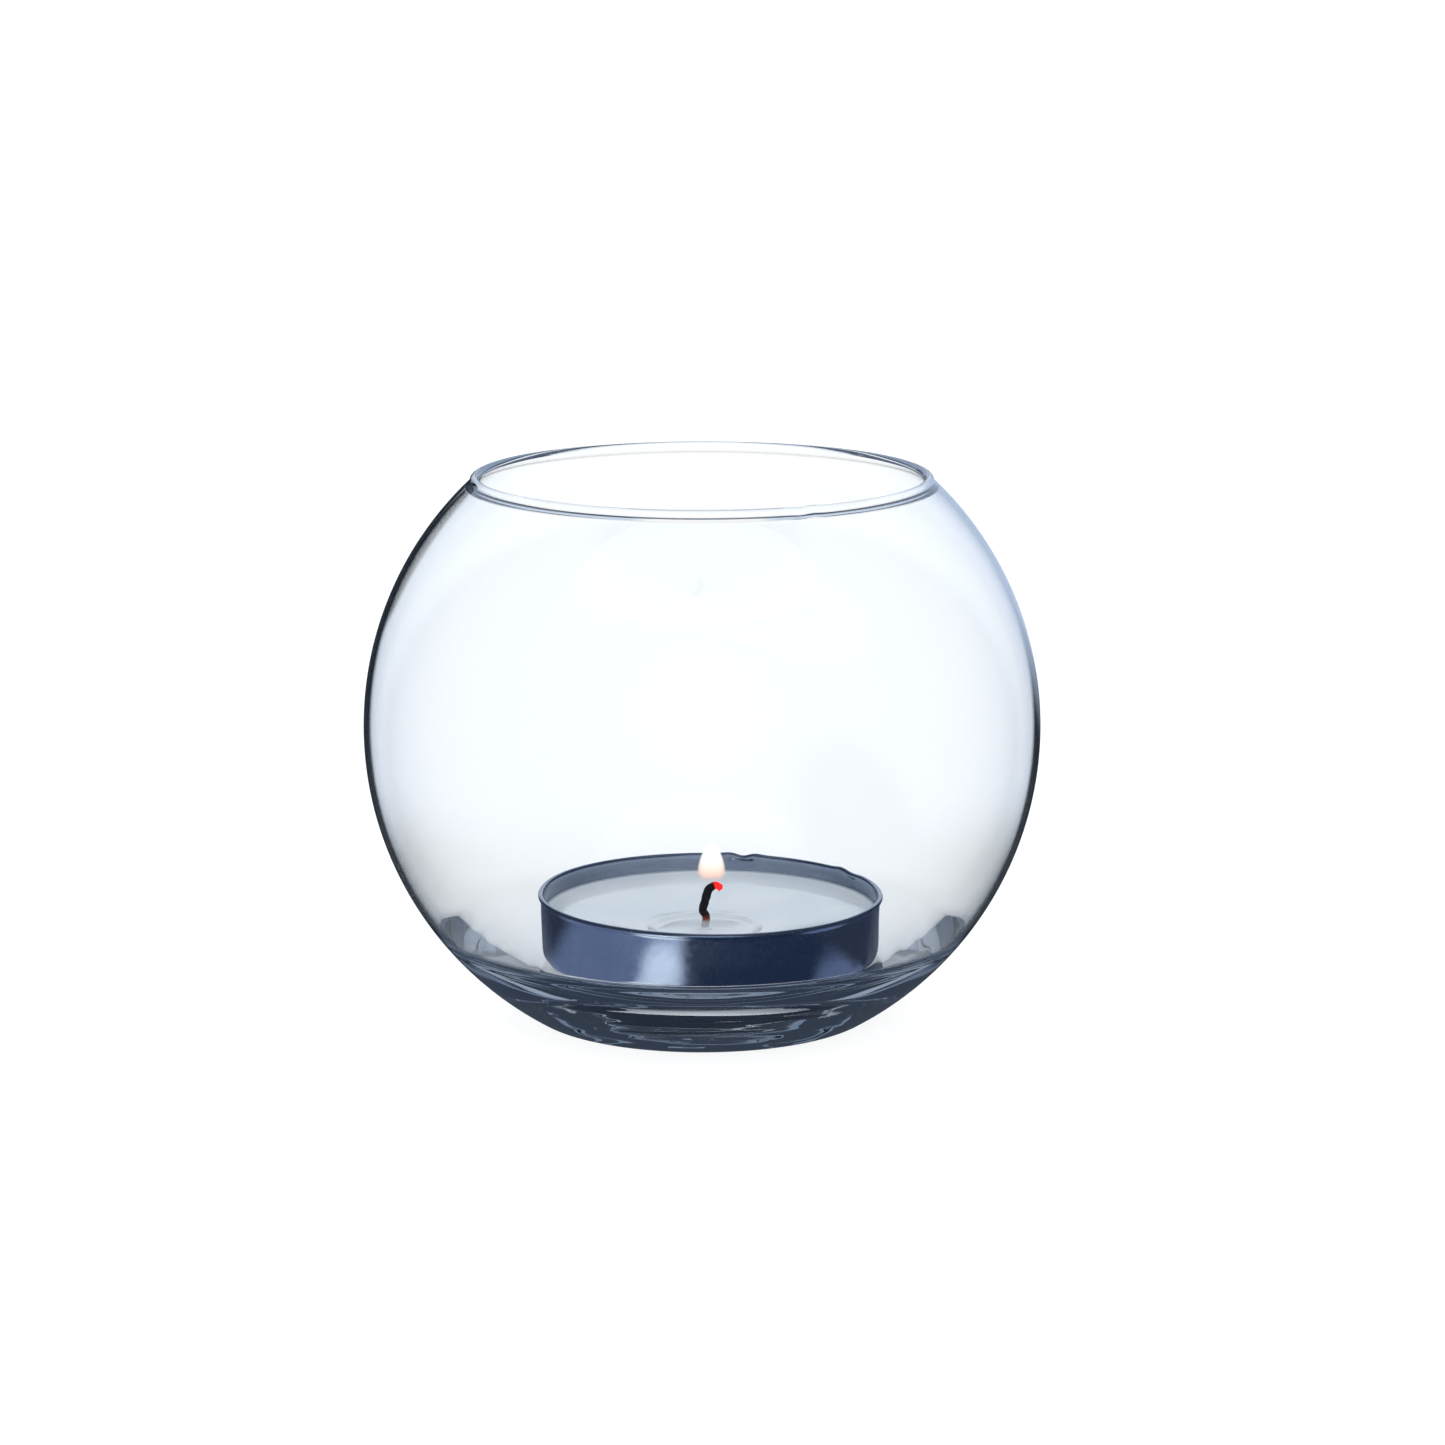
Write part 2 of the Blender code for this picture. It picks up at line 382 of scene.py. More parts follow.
def new_group(name: str, inputs: dict[str, str], outputs: dict[str, str]) -> tuple[NodeBoard, dict, dict]:
    """Start a shader node group.

    Args:
        name: Name of the group.
        inputs: Socket types of its inputs by name.
        outputs: Socket types of its outputs by name.

    Returns:
        The board of the group, its input sockets and the inputs of its output node, by name.
    """
    tree = bpy.data.node_groups.new(name, "ShaderNodeTree")
    for key, kind in inputs.items():
        tree.interface.new_socket(name=key, in_out="INPUT", socket_type=kind)
    for key, kind in outputs.items():
        tree.interface.new_socket(name=key, in_out="OUTPUT", socket_type=kind)
    board = NodeBoard(tree)
    source = board.add("NodeGroupInput")
    sink = board.add("NodeGroupOutput")
    return board, {key: source.outputs[key] for key in inputs}, {key: sink.inputs[key] for key in outputs}


def unevenness_group() -> bpy.types.NodeTree:
    """Make the broad and fine mottling that cast, drawn and burnt surfaces share."""
    kinds = {"Vector": "NodeSocketVector", "Scale": "NodeSocketFloat", "Fineness": "NodeSocketFloat"}
    board, given, wanted = new_group(
        "surface_unevenness", kinds, {"Broad": "NodeSocketFloat", "Fine": "NodeSocketFloat"}
    )
    wide = {"Vector": given["Vector"], "Scale": given["Scale"], "Detail": 3.0}
    broad = board.add("ShaderNodeTexNoise", wide)
    close = board.calc("MULTIPLY", given["Scale"], given["Fineness"])
    fine = board.add("ShaderNodeTexNoise", {"Vector": given["Vector"], "Scale": close, "Detail": 6.0})
    board.join(board.spread(broad.outputs[0], 0.32, 0.68, 0.0, 1.0), wanted["Broad"])
    board.join(board.spread(fine.outputs[0], 0.3, 0.7, 0.0, 1.0), wanted["Fine"])
    return board.tree


def drawn_grain_group() -> bpy.types.NodeTree:
    """Make the long fine lines that rolling and drawing leave in sheet metal."""
    kinds = {"Vector": "NodeSocketVector", "Across": "NodeSocketFloat", "Along": "NodeSocketFloat"}
    board, given, wanted = new_group("drawn_grain", kinds, {"Lines": "NodeSocketFloat"})
    parts = board.add("ShaderNodeSeparateXYZ", {0: given["Vector"]})
    across = board.calc("MULTIPLY", parts.outputs[0], given["Across"])
    along = board.calc("MULTIPLY", parts.outputs[1], given["Along"])
    place = board.add("ShaderNodeCombineXYZ", {0: across, 1: along})
    lines = board.add("ShaderNodeTexNoise", {"Vector": place.outputs[0], "Scale": 1.0, "Detail": 4.0})
    board.join(lines.outputs[0], wanted["Lines"])
    return board.tree


@dataclass(frozen=True)
class Effects:
    """The node groups that several finishes share.

    Attributes:
        unevenness: Broad and fine mottling.
        grain: Drawn lines of sheet metal.
    """

    unevenness: bpy.types.NodeTree
    grain: bpy.types.NodeTree


@dataclass(frozen=True)
class Finish:
    """A finish: a name and the nodes that give a surface its look."""

    name: str

    def make(self, effects: Effects) -> bpy.types.Material:
        """Make the material of this finish.

        Args:
            effects: Shared node groups.

        Returns:
            The new material.
        """
        material = bpy.data.materials.new(self.name)
        material.use_nodes = True
        board = NodeBoard(material.node_tree)
        self.paint(board, material.node_tree.nodes["Principled BSDF"], effects)
        return material

    def paint(self, board: NodeBoard, shader: bpy.types.Node, effects: Effects) -> None:
        """Set the shader's sockets; each finish has its own way.

        Args:
            board: Board of the material.
            shader: Its Principled shader.
            effects: Shared node groups.
        """
        raise NotImplementedError


@dataclass(frozen=True)
class ClearGlass(Finish):
    """Fire-polished clear glass with a faint blue body."""

    name: str = "clear_glass"
    ior: float = 1.5
    tint: Rgb = (0.74, 0.86, 1.0)
    tint_density: float = 18.0
    smudge_scale: float = 55.0
    smudge_roughness: float = 0.012

    def paint(self, board: NodeBoard, shader: bpy.types.Node, effects: Effects) -> None:
        """Make the surface clear, with finger smudges that are barely rough.

        Args:
            board: Board of the material.
            shader: Its Principled shader.
            effects: Shared node groups.
        """
        place = board.add("ShaderNodeTexCoord").outputs["Object"]
        smudge = board.use(
            effects.unevenness, {"Vector": place, "Scale": self.smudge_scale, "Fineness": 3.0}
        )
        shader.inputs["Base Color"].default_value = (1.0, 1.0, 1.0, 1.0)
        shader.inputs["Transmission Weight"].default_value = 1.0
        shader.inputs["IOR"].default_value = self.ior
        rough = board.calc("MULTIPLY", smudge.outputs["Broad"], smudge.outputs["Fine"])
        board.join(board.spread(rough, 0.6, 1.0, 0.0, self.smudge_roughness), shader.inputs["Roughness"])
        body = board.add("ShaderNodeVolumeAbsorption")
        body.inputs["Color"].default_value = (*self.tint, 1.0)
        body.inputs["Density"].default_value = self.tint_density
        board.join(body.outputs[0], board.tree.nodes["Material Output"].inputs["Volume"])


@dataclass(frozen=True)
class SheetMetal(Finish):
    """Thin drawn sheet: satin, with drawing lines and faint clouds."""

    name: str = "satin_aluminium"
    light: Rgb = (0.34, 0.385, 0.48)
    dark: Rgb = (0.30, 0.345, 0.44)
    smooth: float = 0.12
    rough: float = 0.24
    lines_across: float = 900.0
    lines_along: float = 3.0
    relief: float = 0.04

    def paint(self, board: NodeBoard, shader: bpy.types.Node, effects: Effects) -> None:
        """Lay clouds in the colour, and drawing lines in roughness and relief.

        Args:
            board: Board of the material.
            shader: Its Principled shader.
            effects: Shared node groups.
        """
        places = board.add("ShaderNodeTexCoord")
        cloud = board.use(
            effects.unevenness, {"Vector": places.outputs["Object"], "Scale": 160.0, "Fineness": 9.0}
        )
        grain = board.use(
            effects.grain,
            {"Vector": places.outputs["UV"], "Across": self.lines_across, "Along": self.lines_along},
        )
        tone = board.blend(cloud.outputs["Broad"], (*self.dark, 1.0), (*self.light, 1.0))
        board.join(tone, shader.inputs["Base Color"])
        shader.inputs["Metallic"].default_value = 1.0
        mixed = board.calc("MULTIPLY", grain.outputs["Lines"], cloud.outputs["Fine"])
        board.join(board.spread(mixed, 0.0, 0.7, self.smooth, self.rough), shader.inputs["Roughness"])
        bump = board.add(
            "ShaderNodeBump", {"Strength": self.relief, "Distance": 0.0001, "Height": grain.outputs["Lines"]}
        )
        board.join(bump.outputs[0], shader.inputs["Normal"])


@dataclass(frozen=True)
class ParaffinWax(Finish):
    """Set paraffin wax: pale, smooth, with soft clouds."""

    name: str = "paraffin_wax"
    light: Rgb = (0.88, 0.94, 0.99)
    dark: Rgb = (0.80, 0.87, 0.94)
    relief: float = 0.03

    def paint(self, board: NodeBoard, shader: bpy.types.Node, effects: Effects) -> None:
        """Lay soft clouds in colour and gloss, and a faint orange peel.

        Args:
            board: Board of the material.
            shader: Its Principled shader.
            effects: Shared node groups.
        """
        place = board.add("ShaderNodeTexCoord").outputs["Object"]
        cloud = board.use(effects.unevenness, {"Vector": place, "Scale": 120.0, "Fineness": 7.0})
        tone = board.blend(cloud.outputs["Broad"], (*self.dark, 1.0), (*self.light, 1.0))
        board.join(tone, shader.inputs["Base Color"])
        board.join(board.spread(cloud.outputs["Fine"], 0.0, 1.0, 0.04, 0.08), shader.inputs["Roughness"])
        shader.inputs["IOR"].default_value = 1.44
        bump = board.add(
            "ShaderNodeBump", {"Strength": self.relief, "Distance": 0.0001, "Height": cloud.outputs["Fine"]}
        )
        board.join(bump.outputs[0], shader.inputs["Normal"])


@dataclass(frozen=True)
class CharredCotton(Finish):
    """A burning wick: waxed cotton, a scorched band, char and a glowing tip."""

    name: str = "charred_cotton"

    def paint(self, board: NodeBoard, shader: bpy.types.Node, effects: Effects) -> None:
        """Colour the cotton by its share of the way to the tip.

        Args:
            board: Board of the material.
            shader: Its Principled shader.
            effects: Shared node groups.
        """
        share = board.add("ShaderNodeAttribute", attribute_name=ROUTE_SHARE).outputs["Fac"]
        place = board.add("ShaderNodeTexCoord").outputs["Object"]
        ash = board.use(effects.unevenness, {"Vector": place, "Scale": 1500.0, "Fineness": 3.0})
        stops = (
            (0.0, (0.62, 0.62, 0.62)),
            (0.35, (0.62, 0.60, 0.60)),
            (0.40, (0.30, 0.045, 0.02)),
            (0.46, (0.012, 0.008, 0.008)),
            (0.89, (0.006, 0.006, 0.007)),
            (0.91, (0.5, 0.01, 0.01)),
        )
        base = board.ramp(share, stops)
        grey = board.blend(board.calc("MULTIPLY", ash.outputs["Fine"], 0.15), base, (0.03, 0.03, 0.032, 1.0))
        board.join(grey, shader.inputs["Base Color"])
        board.join(board.spread(ash.outputs["Broad"], 0.0, 1.0, 0.6, 0.95), shader.inputs["Roughness"])
        glow = ((0.0, (0.0, 0.0, 0.0)), (0.89, (0.0, 0.0, 0.0)), (0.915, (0.95, 0.02, 0.012)))
        board.join(board.ramp(share, glow), shader.inputs["Emission Color"])
        shader.inputs["Emission Strength"].default_value = 1.0
        shader.inputs["Specular IOR Level"].default_value = 0.1


@dataclass(frozen=True)
class FlameGlow(Finish):
    """Burning gas: peach and thin below, white above, clear at its foot."""

    name: str = "flame_glow"
    cover: float = 0.4

    def paint(self, board: NodeBoard, shader: bpy.types.Node, effects: Effects) -> None:
        """Colour and thin the gas by its share of the way to the top.

        Args:
            board: Board of the material.
            shader: Its Principled shader.
            effects: Shared node groups; not used here.
        """
        share = board.add("ShaderNodeAttribute", attribute_name=ROUTE_SHARE).outputs["Fac"]
        colors = ((0.0, (1.0, 0.50, 0.38)), (0.28, (1.0, 0.72, 0.58)), (0.58, (1.0, 0.98, 0.95)))
        shader.inputs["Base Color"].default_value = (0.0, 0.0, 0.0, 1.0)
        shader.inputs["Specular IOR Level"].default_value = 0.0
        shader.inputs["Roughness"].default_value = 1.0
        shader.inputs["Emission Strength"].default_value = 1.25
        board.join(board.ramp(share, colors), shader.inputs["Emission Color"])
        board.join(board.spread(share, 0.0, 0.42, 0.0, self.cover), shader.inputs["Alpha"])


@dataclass
class GlassBowl:
    """The glass fishbowl: round belly, beaded mouth, heavy dished base and flat foot."""

    radius: float
    wall: float = 0.0006
    foot_radius: float = 0.0180
    heel_radius: float = 0.0030
    mouth_radius: float = 0.0247
    lip_swell: float = 0.00028
    floor_thickness: float = 0.0034
    dish_radius: float = 0.0680
    floor_fillet: float = 0.0050
    floor_ripple: float = 0.00007
    floor_ripple_start: tuple[float, float] = (0.0020, 0.0120)
    floor_ripple_end: tuple[float, float] = (0.0270, 0.0248)
    floor_ripple_width: float = 0.0017
    base_ripple: float = 0.00001
    base_ripple_end: tuple[float, float] = (0.0175, 0.0150)
    base_ripple_width: float = 0.0040
    lip_kink: float = 0.000088
    lip_sway: float = 0.35
    lip_bulge: tuple[float, float] = (27.5, 2.2)
    lip_dip: tuple[float, float] = (24.5, 2.0)
    segments: int = 256
    finish: Finish = ClearGlass()

    @property
    def belly_height(self) -> float:
        """Return the height of the belly's centre."""
        reach = self.radius - self.heel_radius
        return self.heel_radius + math.sqrt(reach**2 - self.foot_radius**2)

    def outline(self) -> list[Station]:
        """Return the glass outline from the middle of the inner floor to the middle of the foot."""
        middle = self.belly_height
        inner = self.radius - self.wall
        center = self.radius - self.wall / 2

        dish = self.floor_thickness + self.dish_radius
        wall_reach = inner - self.floor_fillet
        dish_reach = self.dish_radius - self.floor_fillet
        fillet_z = (wall_reach**2 - dish_reach**2 - middle**2 + dish**2) / (2 * (dish - middle))
        fillet_r = math.sqrt(wall_reach**2 - (fillet_z - middle) ** 2)
        floor_end = math.atan2(fillet_z - dish, fillet_r)
        wall_start = math.atan2(fillet_z - middle, fillet_r)

        bead = self.wall / 2 + self.lip_swell
        bead_r = self.mouth_radius + bead
        bead_z = middle + math.sqrt(center**2 - bead_r**2)
        lean = math.atan2(bead_z - middle, bead_r)
        inner_cut = math.acos((bead**2 + center**2 - inner**2) / (2 * bead * center))
        outer_cut = math.acos((bead**2 + center**2 - self.radius**2) / (2 * bead * center))
        lip = arc(
            (bead_r, bead_z), bead, lean + math.pi + inner_cut, lean - math.pi + outer_cut, 20, Zone.LIP
        )
        inner_end = math.atan2(lip[0].height - middle, lip[0].radius)
        outer_start = math.atan2(lip[-1].height - middle, lip[-1].radius)
        heel_start = math.atan2(self.heel_radius - middle, self.foot_radius)

        floor = arc((0.0, dish), self.dish_radius, DOWN, floor_end, 60, Zone.FLOOR)
        fillet = arc((fillet_r, fillet_z), self.floor_fillet, floor_end, wall_start, 16, Zone.FLOOR)
        wall = arc((0.0, middle), inner, wall_start, inner_end, 72)
        belly = arc((0.0, middle), self.radius, outer_start, heel_start, 80)
        heel = arc((self.foot_radius, self.heel_radius), self.heel_radius, heel_start, DOWN, 12)
        foot = line(heel[-1], Station(0.0, 0.0), 24, Zone.BASE)
        return floor + fillet[1:] + wall[1:] + lip[1:] + belly[1:] + heel[1:] + foot[1:]

    def shift(self, station: Station, azimuth: float) -> tuple[float, float]:
        """Return the unevenness of the hand-finished glass.

        Args:
            station: Point of the outline.
            azimuth: Direction from the axis, in degrees.

        Returns:
            Change of radius and of height.
        """
        turn = math.radians(azimuth)
        if station.zone is Zone.FLOOR:
            across = station.radius / self.floor_ripple_width
            place = Vector((across, 1.1 * math.cos(turn), 1.1 * math.sin(turn)))
            fade = smooth_step(*self.floor_ripple_start, station.radius)
            fade *= smooth_step(*self.floor_ripple_end, station.radius)
            return 0.0, self.floor_ripple * fade * noise.noise(place)
        if station.zone is Zone.BASE:
            across = station.radius / self.base_ripple_width
            place = Vector((across, 2.0 * math.cos(turn), 2.0 * math.sin(turn) + 9.0))
            fade = smooth_step(*self.base_ripple_end, station.radius)
            return 0.0, self.base_ripple * fade * (1.0 + noise.noise(place))
        if station.zone is Zone.LIP:
            kink = hump(azimuth, *self.lip_bulge) - hump(azimuth, *self.lip_dip)
            sway = self.lip_sway * noise.noise(Vector((2.0 * math.cos(turn), 2.0 * math.sin(turn), 4.0)))
            return 0.0, self.lip_kink * (kink + sway)
        return 0.0, 0.0

    def build(self, effects: Effects) -> None:
        """Build and dress the bowl, then tie it to its body.

        Args:
            effects: Shared node groups.
        """
        piece = turned("fishbowl_glass", self.outline(), (0.0, 0.0), self.segments, self.shift)
        piece.data.materials.append(self.finish.make(effects))
        settle(piece, Body.BOWL, "glass_bowl")


@dataclass(frozen=True)
class Dent:
    """A small dent or bulge of a thin rim.

    Attributes:
        azimuth: Direction of its middle, in degrees.
        width: Half its width, in degrees.
        rise: Height of its middle, below 0 for a dent.
    """

    azimuth: float
    width: float
    rise: float


@dataclass
class TealightCup:
    """The drawn aluminium cup with a hemmed, slightly dented rim."""

    axis: tuple[float, float]
    seat: float
    rim_radius: float
    height: float
    draft: float = 0.0001
    corner: float = 0.0016
    sheet: float = 0.00025
    hem_height: float = 0.0006
    hem_depth: float = 0.0003
    hem_step: float = 0.00002
    panel_radius: float = 0.0110
    panel_rise: float = 0.0003
    panel_slope: float = 0.0006
    tilt: float = 0.0075
    pucker: float = 0.00014
    puckers: int = 34
    sway: float = 0.00012
    rim_dents: tuple[Dent, ...] = (
        Dent(168.5, 2.6, -0.00026),
        Dent(164.0, 3.0, 0.00012),
        Dent(173.0, 3.0, 0.00012),
        Dent(128.0, 3.0, 0.00016),
        Dent(121.0, 4.0, -0.00012),
    )
    rim_bulge: Dent = Dent(168.5, 4.0, 0.00010)
    segments: int = 256
    finish: Finish = SheetMetal()

    @property
    def wall_top(self) -> float:
        """Return the outside radius of the wall under the hem."""
        return self.rim_radius - self.hem_depth

    def inside_at(self, height: float) -> float:
        """Return the inside radius of the drafted wall at a height of the frame."""
        top = self.height - self.hem_height
        share = (height - self.seat - self.corner) / (top - self.corner)
        return self.wall_top - self.draft * (1.0 - share) - self.sheet

    def outline(self) -> list[Station]:
        """Return the sheet's outline from the middle of its inside to the middle of its bottom."""
        top = self.seat + self.height
        hem_foot = top - self.hem_height
        foot = self.wall_top - self.draft
        center = (foot - self.corner, self.seat + self.corner)
        edge = self.hem_height / 2
        panel = self.seat + self.panel_rise
        slope = self.panel_radius + self.panel_slope
        lining = self.seat + self.sheet
        inside = line(Station(0.0, panel + self.sheet), Station(self.panel_radius, panel + self.sheet), 8)
        inside += line(Station(slope, lining), Station(center[0], lining), 6)
        inside += arc(center, self.corner - self.sheet, DOWN, 0.0, 8, Zone.CORNER)[1:]
        roll = self.rim_radius - edge
        inside += line(inside[-1], Station(self.wall_top - self.sheet, hem_foot), 20, Zone.WALL)[1:]
        inside += line(inside[-1], Station(self.rim_radius - 2 * edge, top - edge), 4, Zone.RIM)[1:]
        hem = arc((roll, top - edge), edge, math.pi, 0.0, 12, Zone.RIM)[1:]
        hem += arc((roll, top - edge), edge, 0.0, -0.45 * math.pi, 6, Zone.RIM)[1:]
        hem.append(Station(self.wall_top, hem_foot - self.hem_step, Zone.RIM))
        outside = line(hem[-1], Station(foot, self.seat + self.corner), 24, Zone.WALL)[1:]
        outside += arc(center, self.corner, 0.0, DOWN, 10, Zone.CORNER)[1:]
        outside += line(Station(center[0], self.seat), Station(slope, self.seat), 6)[1:]
        outside += line(Station(self.panel_radius, panel), Station(0.0, panel), 8)
        return inside + hem + outside

    def shift(self, station: Station, azimuth: float) -> tuple[float, float]:
        """Return the dents of the thin sheet.

        Args:
            station: Point of the outline.
            azimuth: Direction from the axis, in degrees.

        Returns:
            Change of radius and of height.
        """
        turn = math.radians(azimuth)
        rise = max(station.height - self.seat, 0.0) / self.height
        out = 0.0
        up = -self.tilt * station.radius * math.sin(turn) * rise
        if station.zone in (Zone.WALL, Zone.RIM, Zone.CORNER):
            sway = noise.noise(Vector((1.6 * math.cos(turn), 1.6 * math.sin(turn), 2.0 * rise)))
            out += self.sway * sway * rise
        if station.zone in (Zone.WALL, Zone.CORNER):
            low = smooth_step(0.42, 0.05, rise)
            size = 0.5 + noise.noise(Vector((3.0 * math.cos(turn), 3.0 * math.sin(turn), 7.0)))
            out -= self.pucker * low * size * (0.5 + 0.5 * math.cos(self.puckers * turn + 2.0 * size))
        if station.zone is Zone.RIM:
            up += sum(dent.rise * hump(azimuth, dent.azimuth, dent.width) for dent in self.rim_dents)
            out += self.rim_bulge.rise * hump(azimuth, self.rim_bulge.azimuth, self.rim_bulge.width)
        return out, up

    def build(self, effects: Effects) -> None:
        """Build and dress the cup, then tie it to its body.

        Args:
            effects: Shared node groups.
        """
        piece = turned("aluminium_cup", self.outline(), self.axis, self.segments, self.shift)
        piece.data.materials.append(self.finish.make(effects))
        settle(piece, Body.TEALIGHT, "tealight_cup")


@dataclass
class WickTab:
    """The sheet steel disc with a crimped neck that keeps the wick upright."""

    axis: tuple[float, float]
    bottom: float
    radius: float
    height: float
    sheet: float = 0.0003
    bore: float = 0.0008
    neck_wall: float = 0.0003
    fillet: float = 0.0004
    crimp: float = 0.0001
    crimp_width: float = 0.0006
    lobes: int = 8
    lobe_depth: float = 0.00002
    finish: Finish = SheetMetal(
        name="tinned_steel",
        light=(0.58, 0.59, 0.61),
        dark=(0.46, 0.47, 0.49),
        smooth=0.22,
        rough=0.42,
        lines_across=260.0,
        lines_along=6.0,
        relief=0.06,
    )

    def outline(self) -> list[Station]:
        """Return the closed outline of disc and neck."""
        neck = self.bore + self.neck_wall
        center = (neck + self.fillet, self.bottom + self.sheet + self.fillet)
        top = self.bottom + self.height
        waist = (top + center[1]) / 2
        edge = self.sheet / 2
        outline = [Station(self.bore, top), Station(neck, top)]
        outline += line(Station(neck, waist + self.crimp_width / 2), Station(neck, waist), 4, Zone.WALL)
        outline += line(Station(neck, waist), Station(neck, waist - self.crimp_width / 2), 4, Zone.WALL)[1:]
        outline += arc(center, self.fillet, math.pi, 1.5 * math.pi, 8)
        outline += arc((self.radius - edge, self.bottom + edge), edge, -DOWN, DOWN, 8, Zone.RIM)
        outline += line(Station(self.radius * 0.8, self.bottom), Station(self.bore, self.bottom), 6)
        return outline

    def shift(self, station: Station, azimuth: float) -> tuple[float, float]:
        """Return the crimp of the neck and the slight waviness of the disc's edge.

        Args:
            station: Point of the outline.
            azimuth: Direction from the axis, in degrees.

        Returns:
            Change of radius and of height.
        """
        turn = math.radians(azimuth)
        if station.zone is Zone.WALL:
            return -self.crimp * (0.6 + 0.4 * math.cos(4 * turn)), 0.0
        if station.zone is Zone.RIM:
            return self.lobe_depth * math.cos(self.lobes * turn), 0.0
        return 0.0, 0.0

    def build(self, effects: Effects) -> None:
        """Build and dress the tab, then tie it to its body.

        Args:
            effects: Shared node groups.
        """
        piece = turned("steel_wick_tab", self.outline(), self.axis, 72, self.shift, closed=True)
        piece.data.materials.append(self.finish.make(effects))
        settle(piece, Body.CANDLE, "wick_tab")


@dataclass
class WaxPuck:
    """The wax: a sunk surface, the melt pool and a hole for wick and tab."""

    axis: tuple[float, float]
    wick_axis: tuple[float, float]
    bottom: float
    line_height: float
    cup: TealightCup
    tab: WickTab
    gap: float = 0.00004
    sag: float = 0.0019
    pool_radius: float = 0.0063
    pool_depth: float = 0.00045
    pool_start: float = 0.0012
    bank_inset: float = 0.0009
    bank_width: float = 0.0013
    levelling: float = 0.35
    climb: float = 0.00012
    hole: float = 0.00046
    hole_round: float = 0.0005
    tab_gap: float = 0.00005
    unevenness: float = 0.00005
    unevenness_width: float = 0.005
    segments: int = 192
    finish: Finish = ParaffinWax()

    @property
    def pool_floor(self) -> float:
        """Return the height of the melt pool's floor."""
        return self.line_height - self.sag - self.pool_depth

    def rise_at(self, share: float) -> float:
        """Return the surface's height above the pool's bank.

        Args:
            share: Share of the way from the bank to the cup's wall.

        Returns:
            The height: a hollow that levels off and climbs the wall at the very end.
        """
        hollow = (1.0 - self.levelling) * share**1.5
        level = self.levelling * smooth_step(0.0, 0.9, share)
        return self.sag * (hollow + level) + self.climb * smooth_step(0.95, 1.0, share)

    def outline(self) -> list[Station]:
        """Return the closed outline about the wick's hole, before the pool is set off centre."""
        wall = self.cup.inside_at(self.line_height) - self.gap
        foot = self.cup.inside_at(self.cup.seat + self.cup.corner) - self.gap
        round_radius = self.cup.corner - self.cup.sheet - self.gap
        shelf = self.line_height - self.sag
        floor = self.pool_floor
        edge = (self.hole + self.hole_round, floor + self.hole_round)
        outline = arc(edge, self.hole_round, math.pi, 1.5 * math.pi, 6)
        bank = self.pool_radius - self.bank_inset
        outline += line(Station(self.pool_start, floor), Station(bank, floor), 10)
        outline += [
            Station(bank + self.bank_width * s, floor + self.pool_depth * smooth_step(0.0, 1.0, s))
            for s in (i / 10 for i in range(1, 11))
        ]
        start = outline[-1].radius
        outline += [
            Station(start + (wall - start) * s, shelf + self.rise_at(s), Zone.WALL)
            for s in (i / 30 for i in range(1, 31))
        ]
        outline += arc((foot - round_radius, self.bottom + round_radius), round_radius, 0.0, DOWN, 8)
        recess = self.tab.radius + self.tab_gap
        neck = self.tab.bore + self.tab.neck_wall + self.tab.fillet
        lid = self.tab.bottom + self.tab.sheet + self.tab_gap
        neck_top = self.tab.bottom + self.tab.height + self.tab_gap
        outline += [Station(recess, self.bottom), Station(recess, lid), Station(neck, lid)]
        outline += [Station(neck, neck_top), Station(self.hole, neck_top)]
        return outline

    def shift(self, station: Station, azimuth: float) -> tuple[float, float]:
        """Return the offset of the wall from the wick's axis and the surface's soft unevenness.

        Args:
            station: Point of the outline.
            azimuth: Direction from the wick, in degrees.

        Returns:
            Change of radius and of height.
        """
        turn = math.radians(azimuth)
        share = smooth_step(self.pool_radius, self.cup.rim_radius * 0.95, station.radius)
        aside = (self.axis[0] - self.wick_axis[0]) * math.sin(turn)
        aside -= (self.axis[1] - self.wick_axis[1]) * math.cos(turn)
        up = 0.0
        if station.zone is Zone.WALL:
            across = station.radius / self.unevenness_width
            place = Vector((across, 1.5 * math.cos(turn), 1.5 * math.sin(turn)))
            up = self.unevenness * noise.noise(place) * smooth_step(1.0, 0.8, share)
        return aside * share, up

    def build(self, effects: Effects) -> None:
        """Build and dress the wax, then tie it to its body.

        Args:
            effects: Shared node groups.
        """
        piece = turned("wax_candle", self.outline(), self.wick_axis, self.segments, self.shift, closed=True)
        piece.data.materials.append(self.finish.make(effects))
        settle(piece, Body.CANDLE, "wax_puck")


